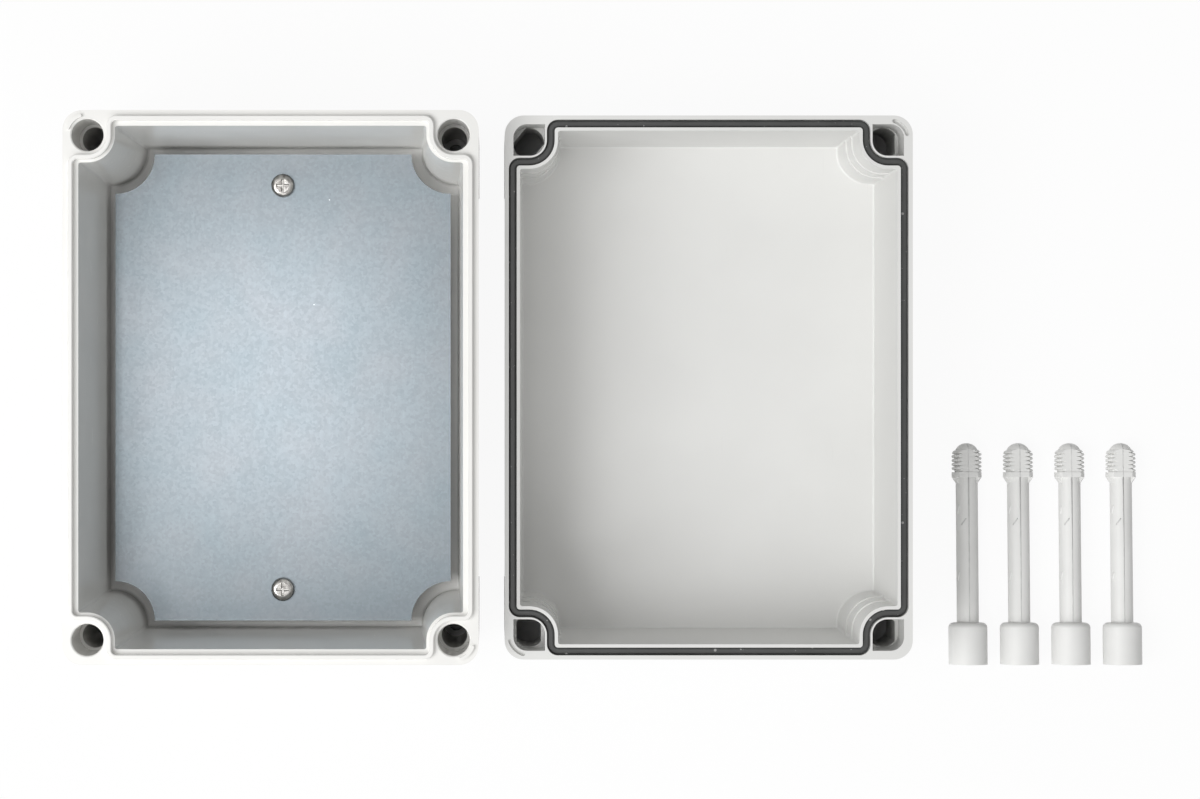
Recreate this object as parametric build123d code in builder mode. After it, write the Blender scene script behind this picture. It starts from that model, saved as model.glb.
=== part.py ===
from build123d import *
from math import asin, atan2, cos, degrees, hypot, isclose, pi, radians, sin, sqrt, tan
import os

# Housing outline, shared by base and lid. X runs along the short side, Y along the long side.
box_width = 150.0
box_length = 200.0
corner_radius = 7.0
base_height = 75.0           # underside to sealing land
lid_height = 55.0            # top face to sealing land
edge_rounding = 1.5          # outer edge of the underside and of the lid's top face

# Side panels, set back between the corner pillars so that the wall keeps its thickness
band_height = 8.0            # full-width band beside the sealing land
pillar_radius = 20.0         # full-width corner about each screw axis
panel_step = 1.8             # set-back just below the band

# Cavities
rim_width = 5.6              # outer face to cavity, at the land
base_floor = 4.0
lid_floor = 3.5
base_draft = 1.8             # degrees, walls of the base
lid_draft = 1.6              # degrees, walls of the lid
nook_radius = 0.9            # inside corner between a column and the wall
nook_share = 0.8             # most of the short wall beside a column that the nook may take
foot_rounding = 0.8          # inside corner between wall and floor
foot_share = 0.9             # most of the nook's radius that the foot may take

# Screw columns in the four corners
screw_inset = 9.0            # screw axis from both outer faces
base_column = 9.8            # radius about the screw axis, at the land
base_column_draft = 2.6      # degrees
lid_column = 10.6
lid_column_draft = 0.8       # degrees
lid_column_tiers = (18.0, 30.0)   # depth of each small ledge below the land
lid_tier_step = 0.45         # how far the column grows at a ledge

# Seal: one centre line carries the tongue, the groove and the gasket
seal_inset = 2.95            # centre line from the outer face
seal_column = 7.95           # centre line about each screw axis
seal_nook = 2.65             # centre line in the nook beside a column
groove_width = 2.9
groove_depth = 4.6
gasket_play = 0.1            # each side of the gasket in its groove
gasket_height = 2.9
gasket_rounding = 0.9
tongue_width = 1.7
tongue_height = 2.0
tongue_bevel = 0.3
ledge_drop = 0.6             # inner ledge of the base, below the land

# Positioning ribs on the base and the slots in the lid that take them
key_radius = 7.3             # about the screw axis
key_width = 1.1
key_height = 1.2
key_spread = 25.0            # degrees to each side of the corner's diagonal
key_play = 0.2
key_end_play = 2.0           # degrees at each end of a rib in its slot

# Lid screw
screw_length = 85.0
head_diameter = 14.8
head_length = 16.0
head_shoulder = 2.0
head_dish_rim = 1.2          # ring left round the dished end face
head_dish_depth = 1.2
drive_span = 9.2
drive_width = 2.3
drive_depth = 4.5
drive_draft = 6.0            # degrees
shaft_diameter = 8.4
thread_diameter = 11.4
thread_root = 9.2
thread_flats = 8.2           # across the two flats that interrupt the thread
thread_pitch = 1.55
thread_land = 0.8            # width of the crest before its edges are bevelled
thread_bevel = 0.25
thread_foot = 1.4            # width of the ridge at its root
thread_turns = 5.5
thread_lead_in = 3.0         # rounding of the crests towards the tip
thread_start = 2.1           # below the end of the tip, where that rounding begins
ridge_sweep = 170.0          # degrees, each ridge reaches past both flats
ridge_seat = 0.25            # how far a ridge reaches into the root
ridge_margin = 0.1           # the crests' rounding stands outside them
collar_gap = 11.2            # end of the tip to the collar
collar_flats = 8.9
collar_length = 1.9
web_length = 2.3             # slope from the collar to the shaft, on each side
web_width = 5.0
tip_dome = 4.4               # rounding of the core's end

# Passages for the lid screw
screw_play = 0.1             # round the thread and the collar in the lid and in the bore's mouth
mouth_bevel = 0.4
head_play = 0.2
head_sink = 1.0              # head below the lid's top face
pocket_depth = 15.0          # square pocket under the lid's land
pocket_inner_corner = 5.5
pocket_outer_corner = 5.0
passage_turn = -40.0         # degrees, the one passage that stands turned
bore_play = 0.1              # round the thread's root in the base
mouth_play = 0.8             # under the driven screw's collar in the mouth of the bore
bore_floor = 6.0             # base material left for the wall screws
fixing_hole = 5.2            # wall screws pass here

# Mounting plate on its bosses
boss_height = 9.5
boss_diameter = 11.0
post_diameter = 8.0
boss_draft = 1.0             # degrees
plate_thickness = 1.5
plate_gap = 3.5              # plate edge to wall
notch_gap = 2.5              # what the corner notch adds to the column's radius
plate_screw_inset = 12.0     # screws from the plate's two ends
post_inset_x = 14.0
post_inset_y = 27.0

# Plate screws
pan_diameter = 9.0
pan_height = 3.0
pan_edge = 0.9               # straight part of the head's edge
pan_drive_span = 5.0
pan_drive_width = 1.1
pan_drive_depth = 1.9
pan_drive_draft = 8.0        # degrees
shank_diameter = 3.9
shank_length = 10.0          # below the head
shank_point = 1.6
shank_play = 0.1             # round the shank in its boss
plate_hole_play = 0.35       # round the shank in the plate

# Where the loose pieces lie beside the base
lid_gap = 9.5                # base to lid
screw_row_gap = 28.4         # lid to the first screw's axis
screw_pitch = 19.8
screw_row_front = 106.4      # head ends in front of the base's centre

# Worked out from the sizes above
pattern_width = box_width - 2 * screw_inset
pattern_length = box_length - 2 * screw_inset
lid_place = box_width + lid_gap
plate_level = base_floor + boss_height
plate_top = plate_level + plate_thickness
plate_drop = base_height - plate_top
plate_wall = rim_width + plate_drop * tan(radians(base_draft)) + plate_gap
plate_width = box_width - 2 * plate_wall
plate_length = box_length - 2 * plate_wall
plate_notch = base_column + plate_drop * tan(radians(base_column_draft)) + notch_gap
plate_screw_spacing = plate_length - 2 * plate_screw_inset
pocket_size = thread_diameter + 2 * screw_play
collar_top = screw_length - collar_gap
collar_level = collar_top - collar_length
mouth_depth = head_sink + collar_top - lid_height + mouth_play


def loop_face(inset, column_radius, nook):
    """The area inside a line that keeps one distance from the outer faces and passes the four
    screw columns on their inner side."""
    half_width = box_width / 2 - inset
    half_length = box_length / 2 - inset
    block = 2 * (column_radius + screw_inset - inset)
    with BuildSketch(mode=Mode.PRIVATE) as outline:
        Rectangle(2 * half_width, 2 * half_length)
        with GridLocations(2 * half_width, 2 * half_length, 2, 2):
            RectangleRounded(block, block, column_radius, mode=Mode.SUBTRACT)
        nooks = outline.vertices().filter_by(
            lambda v: isclose(abs(v.X), half_width) or isclose(abs(v.Y), half_length)
        )
        fillet(nooks, nook)
    return outline.sketch


def seal_face(offset):
    """The area inside a line beside the seal's centre line, outwards where offset is positive."""
    return loop_face(seal_inset - offset, seal_column - offset, seal_nook + offset)


def wall_inset(depth, draft):
    """From the outer face to a cavity's wall, at a depth below the land."""
    return rim_width + depth * tan(radians(draft))


def nook_at(inset):
    """Radius of a cavity's nooks, limited by the short wall that leads to the column."""
    return min(nook_radius, nook_share * (screw_inset - inset))


def foot_at(inset):
    """Rounding at the foot of a cavity, limited by the nooks."""
    return min(foot_rounding, foot_share * nook_at(inset))


def cavity_face(depth, draft, column_radius):
    """A level cut through a cavity at a depth below the land."""
    inset = wall_inset(depth, draft)
    return loop_face(inset, column_radius, nook_at(inset))


def cavity_stage(ground, height, draft, top_depth, top_column, foot_depth, foot_column):
    """One stage of a cavity, between two depths below the land."""
    with BuildPart() as stage:
        with BuildSketch(ground.offset(height - top_depth)):
            add(cavity_face(top_depth, draft, top_column))
        with BuildSketch(ground.offset(height - foot_depth)):
            add(cavity_face(foot_depth, draft, foot_column))
        loft(ruled=True)
    return stage.part


def housing_block(ground, height, draft):
    """The outer form of one half: drafted walls between full-width corner pillars, and a
    full-width band beside the sealing land."""
    band_level = height - band_height
    with BuildPart() as walls:
        with BuildSketch(ground.offset(band_level)):
            RectangleRounded(box_width - 2 * panel_step, box_length - 2 * panel_step,
                             corner_radius)
        extrude(amount=-band_level, taper=draft)
        fillet(walls.faces().sort_by(Axis.Z)[0].outer_wire().edges(), edge_rounding)
    with BuildPart() as block:
        with BuildSketch(ground):
            RectangleRounded(box_width, box_length, corner_radius)
        extrude(amount=height)
        fillet(block.faces().sort_by(Axis.Z)[0].outer_wire().edges(), edge_rounding)
        with BuildSketch(ground):
            with GridLocations(pattern_width, pattern_length, 2, 2):
                Circle(pillar_radius)
        extrude(amount=height, mode=Mode.INTERSECT)
        add(walls.part)
        with BuildSketch(ground.offset(band_level)):
            RectangleRounded(box_width, box_length, corner_radius)
        extrude(amount=band_height)
    return block.part


def key_arcs(corners, spread):
    """Arc about a screw axis, centred on the corner's diagonal, for each corner named by signs."""
    arcs = []
    for side, end in corners:
        middle = (side * pattern_width / 2, end * pattern_length / 2)
        heading = degrees(atan2(end, side))
        arcs.append(CenterArc(middle, key_radius, heading - spread, 2 * spread))
    return arcs


rib_arcs = key_arcs([(-1, 1), (1, -1)], key_spread)
slot_arcs = key_arcs([(1, 1), (-1, -1)], key_spread + key_end_play)

# Base
ground = Plane.XY
base_depth = base_height - base_floor
base_foot_column = base_column + base_depth * tan(radians(base_column_draft))
with BuildPart() as base:
    add(housing_block(ground, base_height, base_draft))
    add(cavity_stage(ground, base_height, base_draft, 0, base_column,
                     base_depth, base_foot_column), mode=Mode.SUBTRACT)
    floor_face = base.faces().filter_by(Plane.XY).filter_by(
        lambda f: isclose(f.center().Z, base_floor, abs_tol=0.01)
    )[0]
    fillet(floor_face.outer_wire().edges(), foot_at(wall_inset(base_depth, base_draft)))

    # Inner ledge beside the tongue, lower than the land
    with BuildSketch(ground.offset(base_height)):
        add(seal_face(-tongue_width / 2))
    extrude(amount=-ledge_drop, mode=Mode.SUBTRACT)

    # Sealing tongue
    with BuildSketch(ground.offset(base_height)):
        add(seal_face(tongue_width / 2))
        add(seal_face(-tongue_width / 2), mode=Mode.SUBTRACT)
    extrude(amount=tongue_height)
    chamfer(base.faces().sort_by(Axis.Z)[-1].edges(), tongue_bevel)

    # Positioning ribs
    with BuildSketch(ground.offset(base_height)):
        for arc in rib_arcs:
            SlotArc(arc, key_width)
    extrude(amount=key_height)

    # Screw bores with a wide mouth, and the holes for wall screws under them
    with Locations(ground.offset(base_height)):
        with GridLocations(pattern_width, pattern_length, 2, 2):
            CounterBoreHole(
                radius=thread_root / 2 + bore_play,
                counter_bore_radius=pocket_size / 2,
                counter_bore_depth=mouth_depth,
                depth=base_height - bore_floor,
            )
            Hole(radius=fixing_hole / 2)
    mouths = base.edges().filter_by(GeomType.CIRCLE).filter_by(
        lambda e: isclose(e.radius, pocket_size / 2) and isclose(e.center().Z, base_height)
    )
    chamfer(mouths, mouth_bevel)

    # Bosses and posts that carry the mounting plate
    with BuildSketch(ground.offset(base_floor)):
        with GridLocations(0, plate_screw_spacing, 1, 2):
            Circle(boss_diameter / 2)
        with GridLocations(plate_width - 2 * post_inset_x, plate_length - 2 * post_inset_y, 2, 2):
            Circle(post_diameter / 2)
    extrude(amount=boss_height, taper=boss_draft)
    with Locations(ground.offset(plate_level)):
        with GridLocations(0, plate_screw_spacing, 1, 2):
            Hole(radius=shank_diameter / 2 + shank_play, depth=boss_height)
base.part.label = "base"

# Lid, lying on its top face with the open side up
bench = Plane(origin=(lid_place, 0, 0))
with BuildPart() as lid:
    add(housing_block(bench, lid_height, lid_draft))

    # Cavity in stages: the columns grow by a small ledge from one to the next
    lid_stages = [0, *lid_column_tiers, lid_height - lid_floor]
    for tier, (top_depth, foot_depth) in enumerate(zip(lid_stages, lid_stages[1:])):
        grown = lid_column + tier * lid_tier_step
        top_column = grown + top_depth * tan(radians(lid_column_draft))
        foot_column = grown + foot_depth * tan(radians(lid_column_draft))
        add(cavity_stage(bench, lid_height, lid_draft, top_depth, top_column,
                         foot_depth, foot_column), mode=Mode.SUBTRACT)
    floor_face = lid.faces().filter_by(Plane.XY).filter_by(
        lambda f: isclose(f.center().Z, lid_floor, abs_tol=0.01)
    )[0]
    fillet(floor_face.outer_wire().edges(), foot_at(wall_inset(lid_stages[-1], lid_draft)))

    # Seal groove
    with BuildSketch(bench.offset(lid_height)):
        add(seal_face(groove_width / 2))
        add(seal_face(-groove_width / 2), mode=Mode.SUBTRACT)
    extrude(amount=-groove_depth, mode=Mode.SUBTRACT)

    # Slots for the positioning ribs
    with BuildSketch(bench.offset(lid_height)):
        for arc in slot_arcs:
            SlotArc(arc, key_width + 2 * key_play)
    extrude(amount=-key_height - key_play, mode=Mode.SUBTRACT)

    # Screw passages: recess for the head, shaped hole, then the square pocket under the land
    with BuildSketch(bench):
        with GridLocations(pattern_width, pattern_length, 2, 2):
            Circle(head_diameter / 2 + head_play)
    extrude(amount=head_length + head_sink, mode=Mode.SUBTRACT)
    for side in (-1, 1):
        for end in (-1, 1):
            axis = bench.offset(lid_height).shift_origin(
                (lid_place + side * pattern_width / 2, end * pattern_length / 2, lid_height)
            )
            turn = passage_turn if (side, end) == (-1, 1) else 0
            with BuildSketch(axis.rotated((0, 0, turn))):
                Circle(pocket_size / 2)
                Rectangle(collar_flats + 2 * screw_play, pocket_size, mode=Mode.INTERSECT)
            extrude(amount=-(lid_height - head_length), mode=Mode.SUBTRACT)
            with BuildSketch(axis) as pocket:
                Rectangle(pocket_size, pocket_size)
                outer_first = pocket.vertices().sort_by(lambda v: side * v.X + end * v.Y)
                fillet(outer_first[-1], pocket_outer_corner)
                fillet(pocket.vertices().sort_by(lambda v: side * v.X + end * v.Y)[0],
                       pocket_inner_corner)
            extrude(amount=-pocket_depth, mode=Mode.SUBTRACT)
lid.part.label = "lid"

# Gasket, lying on the floor of the lid's groove
gasket_level = lid_height - groove_depth
with BuildPart() as gasket:
    with BuildSketch(bench.offset(gasket_level)):
        add(seal_face(groove_width / 2 - gasket_play))
        add(seal_face(gasket_play - groove_width / 2), mode=Mode.SUBTRACT)
    extrude(amount=gasket_height)
    fillet(gasket.faces().sort_by(Axis.Z)[-1].edges(), gasket_rounding)
gasket.part.label = "gasket"

# Mounting plate with a round notch at each corner
with BuildPart() as mounting_plate:
    with BuildSketch(ground.offset(plate_level)):
        Rectangle(plate_width, plate_length)
        with GridLocations(plate_width, plate_length, 2, 2):
            Circle(plate_notch, mode=Mode.SUBTRACT)
        with GridLocations(0, plate_screw_spacing, 1, 2):
            Circle(shank_diameter / 2 + plate_hole_play, mode=Mode.SUBTRACT)
    extrude(amount=plate_thickness)
mounting_plate.part.label = "mounting_plate"


def drive_recess(mouth, span, width, depth, draft):
    """The form of a crossed recess that narrows below its mouth plane."""
    with BuildPart() as recess:
        for level in (0, depth):
            narrowing = 2 * level * tan(radians(draft))
            with BuildSketch(mouth.offset(-level)):
                Rectangle(span - narrowing, width - narrowing)
                Rectangle(width - narrowing, span - narrowing)
        loft(ruled=True)
    return recess.part


def plate_screw(seat):
    """Pan-head screw whose head rests on the seat plane, with a crossed drive recess."""
    head = pan_diameter / 2
    dome = pan_height - pan_edge
    shank = shank_diameter / 2
    side = Plane(origin=seat.origin, x_dir=seat.x_dir, z_dir=-seat.y_dir)
    with BuildPart() as screw:
        with BuildSketch(side):
            with BuildLine():
                Polyline((head - dome, pan_height), (0, pan_height), (0, -shank_length),
                         (shank / 2, -shank_length), (shank, shank_point - shank_length),
                         (shank, 0), (head, 0), (head, pan_edge))
                CenterArc((head - dome, pan_edge), dome, 0, 90)
            make_face()
        revolve(axis=Axis(seat.origin, seat.z_dir))
        add(drive_recess(seat.offset(pan_height), pan_drive_span, pan_drive_width,
                         pan_drive_depth, pan_drive_draft), mode=Mode.SUBTRACT)
    return screw


plate_screws = [
    plate_screw(Plane(origin=(0, end * plate_screw_spacing / 2, plate_top))) for end in (1, -1)
]

# Lid screw, built upright on its head with the tip up
shaft = shaft_diameter / 2
crest = thread_diameter / 2
root = thread_root / 2
head = head_diameter / 2
thread_lead = degrees(atan2(thread_pitch, pi * thread_diameter))
flank_slope = (thread_foot - thread_land) / (thread_diameter - thread_root)
ridge_base = thread_foot / 2 + ridge_seat * flank_slope
with BuildPart() as ridge:
    # Nearly half a turn of the thread, from the -Y side of the screw's axis by +X
    with BuildSketch(Plane(origin=(0, 0, 0), x_dir=(0, -1, 0), z_dir=(-1, 0, 0))) as profile:
        with BuildLine():
            Polyline((root - ridge_seat, -ridge_base), (crest, -thread_land / 2),
                     (crest, thread_land / 2), (root - ridge_seat, ridge_base), close=True)
        make_face()
        chamfer(profile.vertices().group_by(Axis.X)[-1], thread_bevel)
    revolve(axis=Axis.Z, revolution_arc=ridge_sweep)


def turned_end(radius, rounding, top):
    """A turned solid from the collar up to a rounded end."""
    with BuildPart() as form:
        with BuildSketch(Plane.XZ):
            with BuildLine():
                Polyline((radius, top - rounding), (radius, collar_level), (0, collar_level),
                         (0, top), (radius - rounding, top))
                CenterArc((radius - rounding, top - rounding), rounding, 0, 90)
            make_face()
        revolve(axis=Axis.Z)
    return form.part


# The thread rises half a pitch from one side to the other, and its crests are rounded to the tip
with BuildPart() as thread:
    for half_turn in range(round(2 * thread_turns)):
        level = collar_top + thread_foot / 2 + half_turn * thread_pitch / 2
        lead = thread_lead if half_turn % 2 == 0 else -thread_lead
        turn = 180 * (half_turn % 2) + (180 - ridge_sweep) / 2
        with Locations(Location((0, 0, level), (lead, 0, turn))):
            add(ridge.part)
    add(turned_end(crest + ridge_margin, thread_lead_in, screw_length - thread_start),
        mode=Mode.INTERSECT)

# Two flats interrupt it
with BuildPart() as screw_tip:
    add(turned_end(root, tip_dome, screw_length))
    add(thread.part)
    with BuildSketch(Plane.XY.offset(collar_level)):
        Rectangle(2 * thread_diameter, thread_flats)
    extrude(amount=screw_length - collar_level, mode=Mode.INTERSECT)

# The collar under the thread has two flats too, and a sloping web on each side
with BuildPart() as screw_collar:
    with BuildSketch(Plane.XZ):
        with BuildLine():
            Polyline((0, collar_level - web_length), (shaft, collar_level - web_length),
                     (crest, collar_level), (0, collar_level), close=True)
        make_face()
    revolve(axis=Axis.Z)
    with BuildSketch(Plane.XY.offset(collar_level - web_length)):
        Rectangle(2 * thread_diameter, web_width)
    extrude(amount=web_length, mode=Mode.INTERSECT)
    with BuildSketch(Plane.XY.offset(collar_level)):
        Circle(crest)
        Rectangle(2 * thread_diameter, collar_flats, mode=Mode.INTERSECT)
    extrude(amount=collar_length)

with BuildPart() as lid_screw:
    with BuildSketch(Plane.XZ):
        with BuildLine():
            Polyline((0, 0), (0, collar_level), (shaft, collar_level),
                     (shaft, head_length), (head, head_length), (head, 0), close=True)
        make_face()
    revolve(axis=Axis.Z)
    shoulder_edge = lid_screw.edges().filter_by(GeomType.CIRCLE).group_by(
        lambda e: round(e.center().Z, 3))[1].sort_by(SortBy.RADIUS)[-1]
    fillet(shoulder_edge, head_shoulder)
    with BuildSketch():
        Circle(head - head_dish_rim)
    extrude(amount=head_dish_depth, mode=Mode.SUBTRACT)
    add(drive_recess(Plane(origin=(0, 0, head_dish_depth), z_dir=(0, 0, -1)), drive_span,
                     drive_width, drive_depth, drive_draft), mode=Mode.SUBTRACT)
    add(screw_collar.part)
    add(screw_tip.part)

# A lid screw on the bench rests on its head's shoulder and on the end of a flat at its domed tip
dome_cut = sqrt(tip_dome ** 2 - (thread_flats / 2 - root + tip_dome) ** 2)
rest_run = screw_length - tip_dome + dome_cut - (head_length - head_shoulder)
rest_rise = thread_flats / 2 - (head - head_shoulder)
screw_tilt = asin(head_shoulder / hypot(rest_run, rest_rise)) - atan2(rest_rise, rest_run)
screw_rise = ((head_length - head_shoulder) * sin(screw_tilt)
              + (head - head_shoulder) * cos(screw_tilt) + head_shoulder)

os.makedirs("parts", exist_ok=True)
pieces = [base, lid, gasket, mounting_plate]
for number, screw in enumerate(plate_screws, start=1):
    screw.part.label = f"plate_screw_{number}"
    pieces.append(screw)
for number in range(4):
    row_x = lid_place + box_width / 2 + screw_row_gap + number * screw_pitch
    resting = Plane(origin=(row_x, -screw_row_front, screw_rise), x_dir=(1, 0, 0),
                    z_dir=(0, cos(screw_tilt), -sin(screw_tilt)))
    with BuildPart() as laid_screw:
        with Locations(resting):
            add(lid_screw.part)
    laid_screw.part.label = f"lid_screw_{number + 1}"
    pieces.append(laid_screw)
for piece in pieces:
    export_step(piece.part, f"parts/{piece.part.label}.step")
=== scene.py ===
"""Looks of a plastic project box that lies opened: base with its plate, lid with its seal, and
the four long screws that hold the two together.

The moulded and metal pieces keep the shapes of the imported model, and this script gives each of
them its finish. Base, lid and long screws are light grey plastic, the seal is dusty rubber, and
the plate is zinc-coated sheet, held by plated screws. The script adds the seam and the small
slanted marks that the mould leaves on each long screw, and sets the camera, floor and light.
All lengths are metres.
"""

import logging
from dataclasses import dataclass, field
from enum import Enum
from math import cos, radians, sin, tan

import bpy
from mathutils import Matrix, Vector


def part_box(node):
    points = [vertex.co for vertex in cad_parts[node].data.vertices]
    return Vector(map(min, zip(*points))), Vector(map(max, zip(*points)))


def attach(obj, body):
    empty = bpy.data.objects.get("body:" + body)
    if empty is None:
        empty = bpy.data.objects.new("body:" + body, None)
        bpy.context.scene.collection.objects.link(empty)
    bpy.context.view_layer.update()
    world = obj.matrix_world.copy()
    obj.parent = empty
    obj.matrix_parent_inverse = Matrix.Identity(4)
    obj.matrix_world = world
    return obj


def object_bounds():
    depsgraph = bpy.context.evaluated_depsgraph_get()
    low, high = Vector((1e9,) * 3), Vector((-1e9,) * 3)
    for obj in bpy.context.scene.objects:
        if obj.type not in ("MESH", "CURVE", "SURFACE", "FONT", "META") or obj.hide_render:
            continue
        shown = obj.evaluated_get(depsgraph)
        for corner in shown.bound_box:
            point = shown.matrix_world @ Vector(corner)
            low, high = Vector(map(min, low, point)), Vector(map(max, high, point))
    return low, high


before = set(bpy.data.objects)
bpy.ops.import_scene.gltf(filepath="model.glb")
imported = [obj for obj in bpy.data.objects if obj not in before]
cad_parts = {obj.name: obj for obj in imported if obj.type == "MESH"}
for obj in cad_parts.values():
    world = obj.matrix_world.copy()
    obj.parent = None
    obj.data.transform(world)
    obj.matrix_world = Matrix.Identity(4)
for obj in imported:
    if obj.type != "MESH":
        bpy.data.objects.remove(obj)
cad_low, cad_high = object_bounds()

logging.basicConfig(level=logging.INFO, format="%(message)s")
log = logging.getLogger("project_box")

Colour = tuple[float, float, float]
Setting = float | int | bool | str | tuple | Vector | bpy.types.NodeSocket | bpy.types.NodeTree

MILLIMETRE = 0.001
MERGE_DISTANCE = 0.001 * MILLIMETRE
WHITE: Colour = (1.0, 1.0, 1.0)

# Grains in a metre of a moulded skin
MOULD_GRAIN = 1400.0

# Numbers of the colour sockets on a mix node
COLOUR_A = 6
COLOUR_B = 7
COLOUR_RESULT = 2


def opaque(colour: Setting) -> Setting:
    """Gives a plain colour its fourth channel, and leaves a socket as it is.

    Args:
        colour: A colour of three channels, or a socket.

    Returns:
        The colour with a last channel of 1, or the same socket.
    """
    if isinstance(colour, bpy.types.NodeSocket):
        return colour
    return (*colour, 1.0)


def shaded(colour: Colour, share: float) -> Colour:
    """The same hue, lighter or darker by a share of itself."""
    return tuple(channel * share for channel in colour)


@dataclass
class Wiring:
    """A node tree that is filled by short calls.

    Args:
        tree: The tree of a material, a world or a node group.
    """

    tree: bpy.types.NodeTree

    def add(self, kind: str, inputs: dict[str | int, Setting] | None = None,
            **settings: Setting) -> bpy.types.Node:
        """Adds a node, sets it up and links it.

        Args:
            kind: The node's type name.
            inputs: Values or sockets for its inputs, by name or by number.
            settings: The node's own properties.

        Returns:
            The new node.
        """
        node = self.tree.nodes.new(kind)
        for name, value in settings.items():
            setattr(node, name, value)
        for key, value in (inputs or {}).items():
            if isinstance(value, bpy.types.NodeSocket):
                self.tree.links.new(value, node.inputs[key])
            else:
                node.inputs[key].default_value = value
        return node

    def group(self, tree: bpy.types.NodeTree, **inputs: Setting) -> bpy.types.Node:
        """Places a shared effect, with its inputs by name."""
        return self.add("ShaderNodeGroup", inputs, node_tree=tree)

    def math(self, operation: str, *values: Setting) -> bpy.types.NodeSocket:
        """Adds one sum, product or comparison of one to three values or sockets."""
        inputs = dict(enumerate(values))
        return self.add("ShaderNodeMath", inputs, operation=operation).outputs[0]

    def blend(self, share: Setting, first: Setting, second: Setting) -> bpy.types.NodeSocket:
        """Blends two colours.

        Args:
            share: How much of the second colour shows, from 0 to 1.
            first: Colour or socket at 0.
            second: Colour or socket at 1.

        Returns:
            The socket with the blended colour.
        """
        inputs = {"Factor": share, COLOUR_A: opaque(first), COLOUR_B: opaque(second)}
        mixed = self.add("ShaderNodeMix", inputs, data_type="RGBA", clamp_factor=True)
        return mixed.outputs[COLOUR_RESULT]

    def shades(self, share: Setting, colour: Colour, darkest: float,
               lightest: float) -> bpy.types.NodeSocket:
        """Blends from a darker to a lighter shade of one colour, each a share of it."""
        return self.blend(share, shaded(colour, darkest), shaded(colour, lightest))

    def ramp(self, value: bpy.types.NodeSocket, low: float, high: float,
             at_low: float = 0.0, at_high: float = 1.0) -> bpy.types.NodeSocket:
        """Maps a range of values to another, clamped at both ends.

        Args:
            value: The socket to map.
            low: Value that becomes at_low.
            high: Value that becomes at_high.
            at_low: Result at and below low.
            at_high: Result at and above high.

        Returns:
            The socket with the mapped value.
        """
        inputs = {"Value": value, "From Min": low, "From Max": high,
                  "To Min": at_low, "To Max": at_high}
        return self.add("ShaderNodeMapRange", inputs, clamp=True).outputs["Result"]


def cleared(owner: bpy.types.Material | bpy.types.World) -> Wiring:
    """Switches a material's or a world's nodes on and empties its tree.

    Args:
        owner: The material or world.

    Returns:
        Its empty tree.
    """
    owner.use_nodes = True
    owner.node_tree.nodes.clear()
    return Wiring(owner.node_tree)


class Effect(Wiring):
    """A node group that works on a place on the object."""

    def __init__(self, name: str, inputs: dict[str, float], outputs: list[str]) -> None:
        """Starts the group with its sockets.

        Args:
            name: The effect's name.
            inputs: Its number inputs and their usual values. It also gets a Place vector.
            outputs: Its number outputs.
        """
        super().__init__(bpy.data.node_groups.new(name, "ShaderNodeTree"))
        sockets = self.tree.interface
        sockets.new_socket("Place", in_out="INPUT", socket_type="NodeSocketVector")
        for label, usual in inputs.items():
            socket = sockets.new_socket(label, in_out="INPUT", socket_type="NodeSocketFloat")
            socket.default_value = usual
        for label in outputs:
            sockets.new_socket(label, in_out="OUTPUT", socket_type="NodeSocketFloat")
        self.given = self.tree.nodes.new("NodeGroupInput").outputs
        self.made = self.tree.nodes.new("NodeGroupOutput").inputs

    def put_out(self, label: str, value: bpy.types.NodeSocket) -> None:
        """Gives one of the group's outputs its value."""
        self.tree.links.new(value, self.made[label])


def build_skin() -> bpy.types.NodeTree:
    """The skin of a surface: a slow drift of tone, and a fine grain.

    Returns:
        A group with outputs Drift and Grain, both from 0 to 1.
    """
    drift_low = 0.3
    drift_high = 0.7
    effect = Effect("moulded_skin", {"Flow": 20.0, "Fineness": 900.0}, ["Drift", "Grain"])
    place = effect.given["Place"]
    drift = effect.add("ShaderNodeTexNoise", {"Vector": place, "Scale": effect.given["Flow"],
                                              "Detail": 3.0, "Roughness": 0.45})
    grain = effect.add("ShaderNodeTexNoise", {"Vector": place, "Scale": effect.given["Fineness"],
                                              "Detail": 2.0, "Roughness": 0.6})
    effect.put_out("Drift", effect.ramp(drift.outputs[0], drift_low, drift_high))
    effect.put_out("Grain", grain.outputs[0])
    return effect.tree


def build_hairlines() -> bpy.types.NodeTree:
    """Sparse hair-thin rubs that run along Y, as handling and rolling leave them.

    Returns:
        A group with the output Mask, 1 on a line.
    """
    scarcest_level = 0.8
    level_per_amount = 0.3
    line_softness = 0.05
    effect = Effect("hairlines", {"Across": 900.0, "Along": 12.0, "Amount": 0.3}, ["Mask"])
    across = effect.given["Across"]
    stretch = effect.add("ShaderNodeCombineXYZ", {"X": across, "Y": effect.given["Along"],
                                                  "Z": across})
    place = effect.add("ShaderNodeVectorMath", {0: effect.given["Place"], 1: stretch.outputs[0]},
                       operation="MULTIPLY")
    lines = effect.add("ShaderNodeTexNoise", {"Vector": place.outputs[0], "Scale": 1.0,
                                              "Detail": 1.0})
    lowered = effect.math("MULTIPLY", effect.given["Amount"], level_per_amount)
    level = effect.math("SUBTRACT", scarcest_level, lowered)
    over = effect.math("SUBTRACT", lines.outputs[0], level)
    effect.put_out("Mask", effect.ramp(over, 0.0, line_softness))
    return effect.tree


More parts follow.
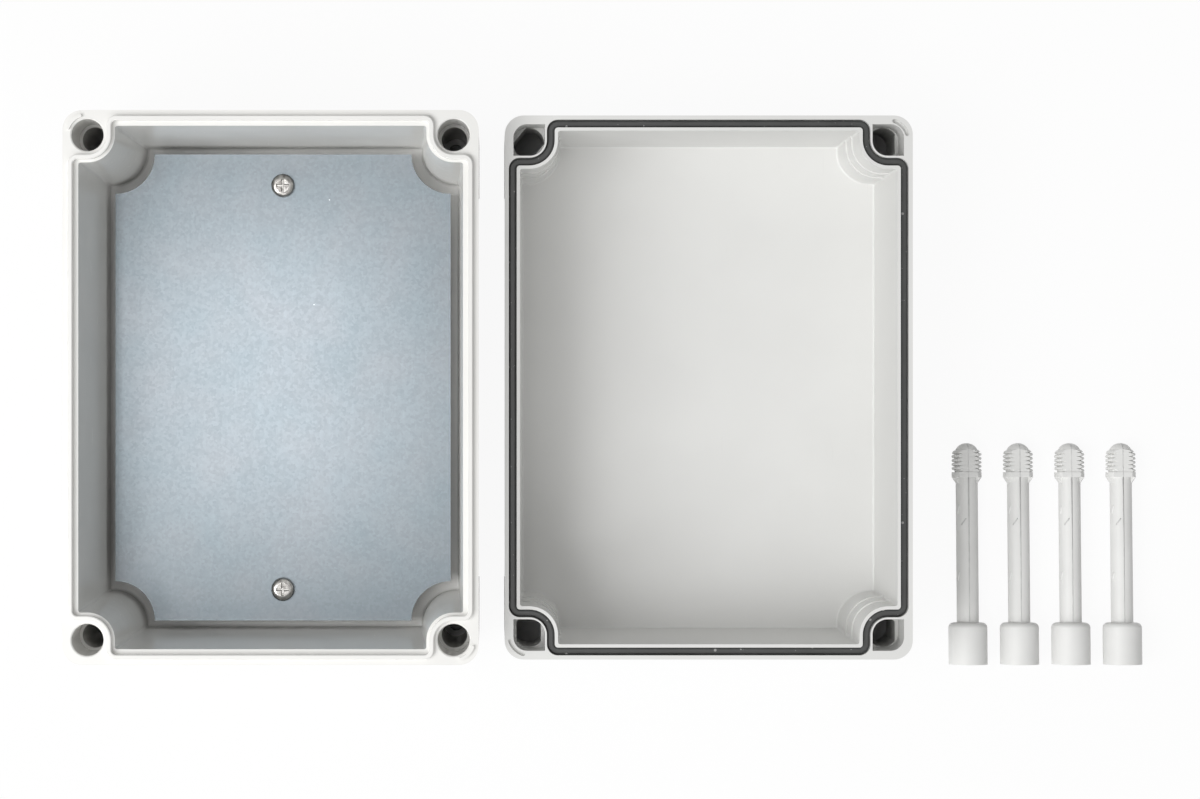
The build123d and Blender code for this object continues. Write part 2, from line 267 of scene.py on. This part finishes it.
def build_specks() -> bpy.types.NodeTree:
    """Small scattered dots, such as dust on a seal or pinholes in zinc.

    Returns:
        A group with the output Mask, 1 on a dot.
    """
    effect = Effect("specks", {"Spacing": 400.0, "Radius": 0.15, "Amount": 0.1}, ["Mask"])
    cells = effect.add("ShaderNodeTexVoronoi", {"Vector": effect.given["Place"],
                                                "Scale": effect.given["Spacing"]})
    lottery = effect.add("ShaderNodeSeparateColor", {"Color": cells.outputs["Color"]})
    chosen = effect.math("LESS_THAN", lottery.outputs[0], effect.given["Amount"])
    near = effect.math("LESS_THAN", cells.outputs["Distance"], effect.given["Radius"])
    effect.put_out("Mask", effect.math("MULTIPLY", chosen, near))
    return effect.tree


@dataclass
class Effects:
    """The effects that several finishes share, each built once.

    Args:
        skin: Drift of tone and grain.
        hairlines: Thin lines along Y.
        specks: Scattered dots.
    """

    skin: bpy.types.NodeTree = field(default_factory=build_skin)
    hairlines: bpy.types.NodeTree = field(default_factory=build_hairlines)
    specks: bpy.types.NodeTree = field(default_factory=build_specks)


class Surface(Wiring):
    """A material's tree, with one surface shader."""

    def __init__(self, name: str, effects: Effects) -> None:
        """Starts the material with its shader and the place on the object.

        Args:
            name: The material's name.
            effects: The shared effects.
        """
        self.material = bpy.data.materials.new(name)
        super().__init__(cleared(self.material).tree)
        self.effects = effects
        self.shader = self.add("ShaderNodeBsdfPrincipled")
        self.add("ShaderNodeOutputMaterial", {"Surface": self.shader.outputs[0]})
        self.place = self.add("ShaderNodeTexCoord").outputs["Object"]

    def feed(self, **values: bpy.types.NodeSocket) -> None:
        """Links values that change over the surface to the shader.

        Args:
            values: Sockets by the shader's input, with _ for a space.
        """
        for name, value in values.items():
            self.tree.links.new(value, self.shader.inputs[name.replace("_", " ")])

    def emboss(self, height: bpy.types.NodeSocket, strength: float, depth: float) -> None:
        """Gives the surface a fine relief.

        Args:
            height: Socket with the height, from 0 to 1.
            strength: Share of the relief that shows.
            depth: Depth of the relief.
        """
        bump = self.add("ShaderNodeBump", {"Height": height, "Strength": strength,
                                           "Distance": depth})
        self.feed(Normal=bump.outputs[0])


@dataclass(frozen=True)
class Skin:
    """How the skin of a surface varies.

    Args:
        flow: Waves of its drift of tone in a metre.
        fineness: Grains in a metre.
    """

    flow: float
    fineness: float

    def lay(self, surface: Surface) -> tuple[bpy.types.NodeSocket, bpy.types.NodeSocket]:
        """Lays the skin, and returns its drift and its grain, both from 0 to 1."""
        placed = surface.group(surface.effects.skin, Place=surface.place, Flow=self.flow,
                               Fineness=self.fineness)
        return placed.outputs["Drift"], placed.outputs["Grain"]


@dataclass(frozen=True)
class Hairlines:
    """How thin lines run over a surface.

    Args:
        across: Lines in a metre, side by side.
        along: Lines in a metre, end to end.
        amount: How many of them show, from 0 to 1.
    """

    across: float
    along: float
    amount: float

    def lay(self, surface: Surface) -> bpy.types.NodeSocket:
        """Lays the lines, and returns their mask."""
        placed = surface.group(surface.effects.hairlines, Place=surface.place,
                               Across=self.across, Along=self.along, Amount=self.amount)
        return placed.outputs["Mask"]


@dataclass(frozen=True)
class Specks:
    """How dots lie on a surface.

    Args:
        spacing: Cells in a metre, each with room for one dot.
        radius: Radius of a dot, as a share of a cell.
        amount: Share of the cells that hold one.
    """

    spacing: float
    radius: float
    amount: float

    def lay(self, surface: Surface) -> bpy.types.NodeSocket:
        """Lays the dots, and returns their mask."""
        placed = surface.group(surface.effects.specks, Place=surface.place,
                               Spacing=self.spacing, Radius=self.radius, Amount=self.amount)
        return placed.outputs["Mask"]


class Gloss(Enum):
    """How shiny a moulded surface comes out of its tool, as a roughness."""

    POLISHED = 0.2
    SATIN = 0.34
    SOFT = 0.46


@dataclass(frozen=True)
class MouldedPlastic:
    """Light grey thermoplastic as it leaves the mould.

    Args:
        name: The material's name.
        colour: Its middle tone.
        gloss: How shiny the tool leaves it.
        drift: Share by which the tone wanders over the piece.
        skin: How fast it wanders, and the grain of the skin.
        grain_depth: Depth of the grain.
        rubs: Hair-thin rubs from handling.
        rub_shade: Tone of a rub, as a share of the plastic's.
        rub_strength: How much of that tone shows.
        scuff: Roughness that a rub adds.
        smoothest: Least roughness, as a share of the gloss.
        roughest: Greatest roughness, as a share of the gloss.
        ior: Refractive index of its skin.
    """

    name: str
    colour: Colour
    gloss: Gloss
    drift: float = 0.02
    skin: Skin = Skin(flow=22.0, fineness=MOULD_GRAIN)
    grain_depth: float = 0.006 * MILLIMETRE
    rubs: Hairlines = Hairlines(across=1100.0, along=30.0, amount=0.12)
    rub_shade: float = 0.82
    rub_strength: float = 0.25
    scuff: float = 0.12
    smoothest: float = 0.9
    roughest: float = 1.12
    ior: float = 1.4

    def material(self, effects: Effects) -> bpy.types.Material:
        """Builds the material.

        Args:
            effects: The shared effects.

        Returns:
            The finished material.
        """
        surface = Surface(self.name, effects)
        drift, grain = self.skin.lay(surface)
        rubs = self.rubs.lay(surface)
        tone = surface.shades(drift, self.colour, 1 - self.drift, 1 + self.drift)
        rubbed = surface.blend(surface.math("MULTIPLY", rubs, self.rub_strength), tone,
                               shaded(self.colour, self.rub_shade))
        rough = surface.ramp(drift, 0.0, 1.0, self.gloss.value * self.smoothest,
                             self.gloss.value * self.roughest)
        scuffed = surface.math("ADD", rough, surface.math("MULTIPLY", rubs, self.scuff))
        surface.feed(Base_Color=rubbed, Roughness=scuffed)
        surface.emboss(grain, 1.0, self.grain_depth)
        surface.shader.inputs["IOR"].default_value = self.ior
        return surface.material


@dataclass(frozen=True)
class SealRubber:
    """Dark foamed rubber with a fine skin and pale dust.

    Args:
        name: The material's name.
        colour: Its middle tone.
        darkest: Darkest tone, as a share of the middle one.
        lightest: Lightest tone, as a share of the middle one.
        skin: Its clouds and its pores.
        pore_depth: Depth of the pores.
        pore_strength: Share of the pores' relief that shows.
        dust: Colour of the dust.
        specks: The coarse dust.
        fine_specks: The fine dust.
        fine_share: How strong the fine dust is beside the coarse.
        dust_strength: How much of the dust's colour shows.
        smoothest: Least roughness.
        roughest: Greatest roughness.
    """

    name: str = "seal_rubber"
    colour: Colour = (0.050, 0.051, 0.050)
    darkest: float = 0.86
    lightest: float = 1.16
    skin: Skin = Skin(flow=120.0, fineness=3200.0)
    pore_depth: float = 0.03 * MILLIMETRE
    pore_strength: float = 0.8
    dust: Colour = (0.50, 0.50, 0.49)
    specks: Specks = Specks(spacing=420.0, radius=0.22, amount=0.08)
    fine_specks: Specks = Specks(spacing=1300.0, radius=0.22, amount=0.05)
    fine_share: float = 0.7
    dust_strength: float = 0.6
    smoothest: float = 0.4
    roughest: float = 0.52

    def material(self, effects: Effects) -> bpy.types.Material:
        """Builds the material.

        Args:
            effects: The shared effects.

        Returns:
            The finished material.
        """
        surface = Surface(self.name, effects)
        drift, grain = self.skin.lay(surface)
        tone = surface.shades(drift, self.colour, self.darkest, self.lightest)
        fine = surface.math("MULTIPLY", self.fine_specks.lay(surface), self.fine_share)
        dots = surface.math("MAXIMUM", self.specks.lay(surface), fine)
        dusted = surface.blend(surface.math("MULTIPLY", dots, self.dust_strength), tone, self.dust)
        surface.feed(Base_Color=dusted,
                     Roughness=surface.ramp(drift, 0.0, 1.0, self.smoothest, self.roughest))
        surface.emboss(grain, self.pore_strength, self.pore_depth)
        return surface.material


@dataclass(frozen=True)
class GalvanisedSheet:
    """Hot-dipped zinc on rolled steel: a fine blue-grey spangle with clouds and pinholes.

    Args:
        name: The material's name.
        colour: Its middle tone.
        warm_cloud: Colour of its warmer clouds.
        spangle: Crystals of zinc in a metre.
        skin: Its clouds of tone and its grain.
        grain_depth: Depth of the grain.
        grain_strength: Share of the grain's relief that shows.
        facet_share: Part of the crystals in the mottling.
        cloud_share: Part of the clouds in the mottling.
        grain_share: Part of the grain in the mottling.
        contrast: Share by which the mottling darkens or lightens the zinc.
        hue: Its clouds of colour.
        warmth: How much of the clouds of colour shows.
        rolled: Lines from the rolls.
        rolled_shade: Tone of such a line, as a share of the zinc's.
        rolled_strength: How much of that tone shows.
        pinholes: Spots that the zinc left open.
        pinhole_colour: Colour of such a spot.
        dull: Roughness of its darkest parts.
        dull_until: Mottling up to which it is that dull.
        bright: Roughness of its lightest parts.
        bright_from: Mottling from which it is that bright.
        metallic: How metallic it is, under its skin of oxide.
    """

    name: str = "galvanised_sheet"
    colour: Colour = (0.228, 0.268, 0.295)
    warm_cloud: Colour = (0.262, 0.268, 0.286)
    spangle: float = 950.0
    skin: Skin = Skin(flow=26.0, fineness=1500.0)
    grain_depth: float = 0.004 * MILLIMETRE
    grain_strength: float = 0.5
    facet_share: float = 0.4
    cloud_share: float = 0.2
    grain_share: float = 0.4
    contrast: float = 0.26
    hue: Skin = Skin(flow=55.0, fineness=400.0)
    warmth: float = 0.4
    rolled: Hairlines = Hairlines(across=620.0, along=90.0, amount=0.5)
    rolled_shade: float = 1.35
    rolled_strength: float = 0.1
    pinholes: Specks = Specks(spacing=170.0, radius=0.045, amount=0.03)
    pinhole_colour: Colour = (0.62, 0.64, 0.66)
    dull: float = 0.22
    dull_until: float = 0.1
    bright: float = 0.19
    bright_from: float = 0.9
    metallic: float = 0.55

    def mottling(self, surface: Surface, clouds: bpy.types.NodeSocket,
                 grain: bpy.types.NodeSocket) -> bpy.types.NodeSocket:
        """Adds up crystals, clouds and grain.

        Args:
            surface: The material's tree.
            clouds: The skin's drift.
            grain: The skin's grain.

        Returns:
            The socket with their sum, from 0 to 1.
        """
        crystals = surface.add("ShaderNodeTexVoronoi", {"Vector": surface.place,
                                                        "Scale": self.spangle})
        facet = surface.add("ShaderNodeSeparateColor", {"Color": crystals.outputs["Color"]})
        facets = surface.math("MULTIPLY", facet.outputs[0], self.facet_share)
        clouded = surface.math("ADD", facets, surface.math("MULTIPLY", clouds, self.cloud_share))
        return surface.math("ADD", clouded, surface.math("MULTIPLY", grain, self.grain_share))

    def material(self, effects: Effects) -> bpy.types.Material:
        """Builds the material.

        Args:
            effects: The shared effects.

        Returns:
            The finished material.
        """
        surface = Surface(self.name, effects)
        clouds, grain = self.skin.lay(surface)
        warmer, _ = self.hue.lay(surface)
        mottled = self.mottling(surface, clouds, grain)
        tone = surface.shades(mottled, self.colour, 1 - self.contrast, 1 + self.contrast)
        hued = surface.blend(self.warmth, tone,
                             surface.blend(warmer, self.colour, self.warm_cloud))
        lines = surface.math("MULTIPLY", self.rolled.lay(surface), self.rolled_strength)
        streaked = surface.blend(lines, hued, shaded(self.colour, self.rolled_shade))
        pitted = surface.blend(self.pinholes.lay(surface), streaked, self.pinhole_colour)
        rough = surface.ramp(mottled, self.dull_until, self.bright_from, self.dull, self.bright)
        surface.feed(Base_Color=pitted, Roughness=rough)
        surface.emboss(grain, self.grain_strength, self.grain_depth)
        surface.shader.inputs["Metallic"].default_value = self.metallic
        return surface.material


@dataclass(frozen=True)
class PlatedSteel:
    """Bright plated steel of the small screws, slightly rubbed by the driver.

    Args:
        name: The material's name.
        colour: The plating's tone.
        rubbed: Its tone where it is rubbed.
        skin: Its rubbed patches and its grain.
        grain_depth: Depth of the grain.
        grain_strength: Share of the grain's relief that shows.
        dull: Roughness where it is rubbed.
        bright: Roughness elsewhere.
    """

    name: str = "plated_steel"
    colour: Colour = (0.54, 0.53, 0.51)
    rubbed: Colour = (0.22, 0.21, 0.20)
    skin: Skin = Skin(flow=560.0, fineness=5200.0)
    grain_depth: float = 0.01 * MILLIMETRE
    grain_strength: float = 0.5
    dull: float = 0.3
    bright: float = 0.16

    def material(self, effects: Effects) -> bpy.types.Material:
        """Builds the material.

        Args:
            effects: The shared effects.

        Returns:
            The finished material.
        """
        surface = Surface(self.name, effects)
        drift, grain = self.skin.lay(surface)
        surface.feed(Base_Color=surface.blend(drift, self.rubbed, self.colour),
                     Roughness=surface.ramp(drift, 0.0, 1.0, self.dull, self.bright))
        surface.emboss(grain, self.grain_strength, self.grain_depth)
        surface.shader.inputs["Metallic"].default_value = 1.0
        return surface.material


def dress(node: str, material: bpy.types.Material) -> None:
    """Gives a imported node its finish.

    Args:
        node: The node's name.
        material: The finish for all of it.
    """
    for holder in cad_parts[node].material_slots:
        holder.material = material
    log.info("%s: finish %s", node, material.name)


def copy_of_node(node: str, name: str) -> bpy.types.Object:
    """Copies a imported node's mesh into a new piece, merged to one skin, and makes it active.

    Args:
        node: The node's name.
        name: The new piece's name.

    Returns:
        The copy, with its place in its mesh.
    """
    piece = bpy.data.objects.new(name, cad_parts[node].data.copy())
    bpy.context.scene.collection.objects.link(piece)
    bpy.ops.object.select_all(action="DESELECT")
    piece.select_set(True)
    bpy.context.view_layer.objects.active = piece
    bpy.ops.mesh.customdata_custom_splitnormals_clear()
    bpy.ops.object.mode_set(mode="EDIT")
    bpy.ops.mesh.select_all(action="SELECT")
    bpy.ops.mesh.remove_doubles(threshold=MERGE_DISTANCE)
    bpy.ops.object.mode_set(mode="OBJECT")
    return piece


def cut_away(place: Vector, outward: Vector) -> None:
    """Cuts the active piece by a plane and drops what lies beyond it.

    Args:
        place: A point of the plane.
        outward: The plane's normal, towards what is dropped.
    """
    bpy.ops.object.mode_set(mode="EDIT")
    bpy.ops.mesh.select_all(action="SELECT")
    bpy.ops.mesh.bisect(plane_co=place, plane_no=outward, clear_outer=True)
    bpy.ops.object.mode_set(mode="OBJECT")


@dataclass
class Housing:
    """The two moulded halves of the box.

    Args:
        polished_lit_copy: The base's plastic, from a polished tool. Its colour is lighter than the
            lid's plastic of the same box: painted light that brightens the base.
        satin: The lid's plastic, from a duller one.
    """

    # The base's colour is lighter than the lid's plastic: painted light on the base.
    polished_lit_copy: MouldedPlastic = MouldedPlastic("housing_polished_lit_copy", (0.84, 0.835, 0.812),
                                              Gloss.POLISHED)
    satin: MouldedPlastic = MouldedPlastic("housing_satin", (0.74, 0.74, 0.725), Gloss.SATIN)

    def dress(self, effects: Effects) -> None:
        """Gives the base its polished walls, in a lighter colour that paints light on them, and the
        lid its satin ones.
        """
        dress("base", self.polished_lit_copy.material(effects))
        dress("lid", self.satin.material(effects))


@dataclass
class Seal:
    """The endless seal in the lid's groove.

    Args:
        rubber: Its rubber.
    """

    rubber: SealRubber = SealRubber()

    def dress(self, effects: Effects) -> None:
        """Gives the seal its rubber."""
        dress("gasket", self.rubber.material(effects))


@dataclass
class MountingPlate:
    """The zinc-coated plate and the screws that hold it.

    Args:
        zinc: The plate's finish.
        plating: The screws' finish.
        screws: How many screws hold it.
    """

    zinc: GalvanisedSheet = GalvanisedSheet()
    plating: PlatedSteel = PlatedSteel()
    screws: int = 2

    def dress(self, effects: Effects) -> None:
        """Gives the plate and its screws their metal.

        Args:
            effects: The shared effects.
        """
        dress("mounting_plate", self.zinc.material(effects))
        plated = self.plating.material(effects)
        for number in range(1, self.screws + 1):
            dress(f"plate_screw_{number}", plated)


@dataclass(frozen=True)
class WitnessMark:
    """A small slanted mark of flash that the tool leaves on a screw's shaft.

    Args:
        from_tip: Its place along the screw.
        round_shaft: Its place round the shaft, from the top towards the left.
        slant: Its turn out of the screw's length.
        is_pale: Whether it gets the paler finish; otherwise it gets the seam's darker one.
        length: How long it is.
        width: How wide it is.
    """

    from_tip: float
    round_shaft: float
    slant: float
    is_pale: bool = True
    length: float = 3.2 * MILLIMETRE
    width: float = 0.5 * MILLIMETRE


@dataclass
class LidScrews:
    """The long screws, with the seam and the marks that the mould leaves on each.

    A screw lies along Y on its head and its tip, head in front, so its axis sinks to the tip.

    Args:
        count: How many there are.
        plastic: Their plastic.
        shaded_flash: The finish of the seam and of the darker mark, darker than the screws'
            plastic: painted shade along the seam.
        pale_flash: The finish of a paler mark, lighter than the screws' plastic.
        tilt: Slope of a screw's axis.
        shaft_radius: Radius of the shaft, where the marks are.
        head_clear: How far the seam ends from the head's end face.
        seam_width: Width of the seam.
        flash_height: Thickness of seam and marks.
        flash_offset: Where that thickness lies, from -1, inside the skin, to 1, outside it.
        marks: The marks on each screw.
    """

    count: int = 4
    plastic: MouldedPlastic = MouldedPlastic("screw_plastic", (0.80, 0.80, 0.785), Gloss.SOFT,
                                             drift=0.03, skin=Skin(flow=60.0, fineness=MOULD_GRAIN),
                                             grain_depth=0.012 * MILLIMETRE)
    # Darker than the screws' plastic: painted shade along the seam, also on the darker mark.
    shaded_flash: MouldedPlastic = MouldedPlastic("screw_flash_painted_shade", (0.66, 0.66, 0.65), Gloss.SOFT,
                                           drift=0.08, skin=Skin(flow=300.0, fineness=MOULD_GRAIN))
    pale_flash: MouldedPlastic = MouldedPlastic("screw_pale_flash", (0.94, 0.94, 0.93), Gloss.SOFT)
    tilt: float = radians(2.754)
    shaft_radius: float = 4.2 * MILLIMETRE
    head_clear: float = 17.0 * MILLIMETRE
    seam_width: float = 0.34 * MILLIMETRE
    flash_height: float = 0.13 * MILLIMETRE
    flash_offset: float = 0.8
    marks: tuple[WitnessMark, ...] = (
        WitnessMark(from_tip=25.5 * MILLIMETRE, round_shaft=radians(60), slant=radians(-15)),
        WitnessMark(from_tip=30.0 * MILLIMETRE, round_shaft=radians(26), slant=radians(-35),
                    is_pale=False),
        WitnessMark(from_tip=51.0 * MILLIMETRE, round_shaft=radians(60), slant=radians(-15)),
    )

    def raised(self, number: int, name: str, cuts: list[tuple[Vector, Vector]]) -> bpy.types.Object:
        """Cuts a patch from a screw's skin and raises it.

        Args:
            number: The screw's number.
            name: The patch's name.
            cuts: Planes that bound the patch, each as a point and the way out.

        Returns:
            The finished patch.
        """
        patch = copy_of_node(f"lid_screw_{number}", name)
        for place, outward in cuts:
            cut_away(place, outward)
        raise_skin = patch.modifiers.new("raise", "SOLIDIFY")
        raise_skin.thickness = self.flash_height
        raise_skin.offset = self.flash_offset
        bpy.ops.object.modifier_apply(modifier=raise_skin.name)
        return patch

    def seam(self, number: int) -> bpy.types.Object:
        """Makes the thin seam along a screw's top, from its tip nearly to its head.

        Args:
            number: The screw's number.

        Returns:
            The finished seam.
        """
        low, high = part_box(f"lid_screw_{number}")
        middle = (low + high) / 2
        across = Vector((1, 0, 0))
        along = Vector((0, 1, 0))
        upward = Vector((0, sin(self.tilt), cos(self.tilt)))
        cuts = [(middle + across * self.seam_width / 2, across),
                (middle - across * self.seam_width / 2, -across),
                (middle, -upward),
                (low + along * self.head_clear, -along)]
        return self.raised(number, f"screw_seam_{number}", cuts)

    def witness(self, number: int, order: int) -> bpy.types.Object:
        """Makes one small slanted mark of flash on a screw's shaft.

        Args:
            number: The screw's number.
            order: Which of the marks, from 0.

        Returns:
            The finished mark.
        """
        mark = self.marks[order]
        low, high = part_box(f"lid_screw_{number}")
        head_radius = (high.x - low.x) / 2
        axis_x = (low.x + high.x) / 2
        axis_y = high.y - mark.from_tip
        head_axis_z = high.z - head_radius * cos(self.tilt)
        axis_z = head_axis_z - tan(self.tilt) * (axis_y - low.y)

        outward = Vector((-sin(mark.round_shaft), 0, cos(mark.round_shaft)))
        place = Vector((axis_x, axis_y, axis_z)) + outward * self.shaft_radius
        along = Vector((0, 1, 0))
        around = outward.cross(along)
        length_way = along * cos(mark.slant) + around * sin(mark.slant)
        width_way = length_way.cross(outward)
        cuts = [(place + way * size / 2, way)
                for way, size in ((length_way, mark.length), (-length_way, mark.length),
                                  (width_way, mark.width), (-width_way, mark.width))]
        cuts.append((place - outward * self.shaft_radius / 2, -outward))
        return self.raised(number, f"screw_mark_{number}_{order + 1}", cuts)

    def build(self, effects: Effects) -> None:
        """Dresses the screws and adds their seams and marks.

        Args:
            effects: The shared effects.
        """
        plastic = self.plastic.material(effects)
        shaded_flash = self.shaded_flash.material(effects)
        pale_flash = self.pale_flash.material(effects)
        for number in range(1, self.count + 1):
            dress(f"lid_screw_{number}", plastic)
            # The seam's finish is darker than the plastic: painted shade along it.
            added = [(self.seam(number), shaded_flash)]
            for order, mark in enumerate(self.marks):
                # A mark is paler than the shaft, or darker like the seam.
                added.append((self.witness(number, order), pale_flash if mark.is_pale else shaded_flash))
            for piece, finish in added:
                piece.data.materials.clear()
                piece.data.materials.append(finish)
                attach(piece, "root")
                log.info("%s: %d faces", piece.name, len(piece.data.polygons))


@dataclass
class Viewpoint:
    """A camera that looks straight down between the base and the lid.

    Args:
        rim_level: Height of the sealing land, where the frame's width is measured.
        distance: Camera above the rim.
        picture: Width and height of the picture in pixels.
        base_centre: Pixel where the base's middle lies.
        pixels_per_metre: Scale at the rim.
        sensor: Width of the camera's sensor in its own millimetres.
    """

    rim_level: float = 75 * MILLIMETRE
    distance: float = 1.0
    picture: tuple[int, int] = (1200, 799)
    base_centre: tuple[float, float] = (270.5, 387.5)
    pixels_per_metre: float = 2775.0
    sensor: float = 36.0

    def build(self) -> None:
        """Makes the scene's camera."""
        width, height = self.picture
        frame_width = width / self.pixels_per_metre
        aim_x = (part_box("base")[1].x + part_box("lid")[0].x) / 2
        centre_x = (width / 2 - self.base_centre[0]) / self.pixels_per_metre
        centre_y = (self.base_centre[1] - height / 2) / self.pixels_per_metre
        lens = bpy.data.cameras.new("camera")
        lens.sensor_width = self.sensor
        lens.lens = self.sensor * self.distance / frame_width
        lens.shift_x = (centre_x - aim_x) / frame_width
        lens.shift_y = centre_y / frame_width
        camera = bpy.data.objects.new("camera", lens)
        camera.location = (aim_x, 0, self.rim_level + self.distance)
        bpy.context.scene.collection.objects.link(camera)
        bpy.context.scene.camera = camera


@dataclass
class Softbox:
    """A square soft lamp that points at the middle of the object.

    Args:
        name: The lamp's name.
        direction: From the object towards the lamp.
        distance: How far away it hangs.
        size: Side of its square.
        power: Its power in watts.
    """

    name: str
    direction: Vector
    distance: float
    size: float
    power: float

    def build(self, target: Vector) -> None:
        """Hangs the lamp.

        Args:
            target: The point that it faces.
        """
        light = bpy.data.lights.new(self.name, "AREA")
        light.shape = "SQUARE"
        light.size = self.size
        light.energy = self.power
        lamp = bpy.data.objects.new(self.name, light)
        outward = self.direction.normalized()
        lamp.location = target + outward * self.distance
        lamp.rotation_mode = "QUATERNION"
        lamp.rotation_quaternion = (-outward).to_track_quat("-Z", "Y")
        bpy.context.scene.collection.objects.link(lamp)


def softboxes() -> list[Softbox]:
    """The three lamps: one from the left, one from the front and a small one above."""
    return [Softbox("key", Vector((-0.60, -0.22, 0.85)), distance=1.7, size=1.1, power=20.0),
            Softbox("front", Vector((0.0, -0.78, 0.76)), distance=1.7, size=0.8, power=5.0),
            Softbox("overhead", Vector((-0.33, 0.02, 2.17)), distance=2.2, size=0.35, power=1.5)]


@dataclass
class Studio:
    """Pale floor, even surroundings and soft lamps.

    Args:
        floor_size: Side of the floor.
        floor_colour: Its colour under the lamps.
        floor_whiteness: Share of plain white in the open floor where it is seen.
        footprint_corner: Corner radius of a housing's footprint, where the floor stays dark.
        footprint_inset: How far the footprint stays inside the housing.
        surround: Strength of the light from all around.
        lamps: The soft lamps.
    """

    floor_size: float = 6.0
    floor_colour: Colour = (0.86, 0.86, 0.86)
    floor_whiteness: float = 0.93
    footprint_corner: float = 9.0 * MILLIMETRE
    footprint_inset: float = 0.4 * MILLIMETRE
    surround: float = 0.36
    lamps: list[Softbox] = field(default_factory=softboxes)

    def seen_directly(self, wiring: Wiring) -> bpy.types.NodeSocket:
        """Tells rays that show the surroundings themselves from rays that light the object.

        Args:
            wiring: The tree to add the test to.

        Returns:
            A socket that is 1 for camera, glossy and transmission rays.
        """
        path = wiring.add("ShaderNodeLightPath")
        mirrored = wiring.math("MAXIMUM", path.outputs["Is Camera Ray"],
                               path.outputs["Is Glossy Ray"])
        return wiring.math("MAXIMUM", mirrored, path.outputs["Is Transmission Ray"])

    def beside(self, wiring: Wiring, node: str) -> bpy.types.NodeSocket:
        """Tells the open floor from the floor under a housing.

        Args:
            wiring: The tree to add the test to.
            node: The housing's node.

        Returns:
            A socket that is 0 within the housing's footprint and 1 elsewhere.
        """
        low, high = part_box(node)
        middle = (low + high) / 2
        half = (high - low) / 2
        place = wiring.add("ShaderNodeTexCoord").outputs["Object"]
        axes = wiring.add("ShaderNodeSeparateXYZ", {0: place})
        squares = []
        for axis in (0, 1):
            off = wiring.math("ABSOLUTE", wiring.math("SUBTRACT", axes.outputs[axis], middle[axis]))
            straight = half[axis] - self.footprint_corner
            past = wiring.math("MAXIMUM", wiring.math("SUBTRACT", off, straight), 0.0)
            squares.append(wiring.math("MULTIPLY", past, past))
        from_corner = wiring.math("SQRT", wiring.math("ADD", *squares))
        return wiring.math("GREATER_THAN", from_corner,
                           self.footprint_corner - self.footprint_inset)

    def floor_material(self) -> bpy.types.Material:
        """Builds the floor's paper, white where it is seen and lit where it gives light.

        Returns:
            The finished material.
        """
        material = bpy.data.materials.new("floor_paper")
        wiring = cleared(material)
        lit = wiring.add("ShaderNodeBsdfDiffuse", {"Color": opaque(self.floor_colour)})
        white = wiring.add("ShaderNodeEmission", {"Color": opaque(WHITE), "Strength": 1.0})
        open_floor = wiring.math("MULTIPLY", self.beside(wiring, "base"),
                                 self.beside(wiring, "lid"))
        seen = wiring.math("MULTIPLY", self.seen_directly(wiring), open_floor)
        share = wiring.math("MULTIPLY", seen, self.floor_whiteness)
        mixed = wiring.add("ShaderNodeMixShader", {0: share, 1: lit.outputs[0],
                                                   2: white.outputs[0]})
        wiring.add("ShaderNodeOutputMaterial", {"Surface": mixed.outputs[0]})
        return material

    def lay_floor(self) -> None:
        """Lays the floor, pale to the eye and still with the object's shadow on it."""
        bpy.ops.object.select_all(action="DESELECT")
        bpy.ops.mesh.primitive_plane_add(size=self.floor_size, location=(0, 0, 0))
        floor = bpy.context.object
        floor.name = "floor"
        floor.data.materials.append(self.floor_material())

    def surround_world(self) -> None:
        """Makes the even surroundings: white where they are seen, softer where they light."""
        world = bpy.data.worlds.new("studio")
        bpy.context.scene.world = world
        wiring = cleared(world)
        lighting = wiring.add("ShaderNodeBackground", {"Color": opaque(WHITE),
                                                       "Strength": self.surround})
        shown = wiring.add("ShaderNodeBackground", {"Color": opaque(WHITE), "Strength": 1.0})
        mixed = wiring.add("ShaderNodeMixShader", {0: self.seen_directly(wiring),
                                                   1: lighting.outputs[0], 2: shown.outputs[0]})
        wiring.add("ShaderNodeOutputWorld", {"Surface": mixed.outputs[0]})

    def build(self) -> None:
        """Lays the floor, sets the surroundings, hangs the lamps and keeps colours plain."""
        self.lay_floor()
        self.surround_world()
        target = (cad_low + cad_high) / 2
        for lamp in self.lamps:
            lamp.build(target)
        bpy.context.scene.view_settings.view_transform = "Standard"


def main() -> None:
    """Dresses the box piece by piece and sets up the picture."""
    effects = Effects()
    Housing().dress(effects)
    Seal().dress(effects)
    MountingPlate().dress(effects)
    LidScrews().build(effects)
    Studio().build()
    Viewpoint().build()


if __name__ == "__main__":
    main()
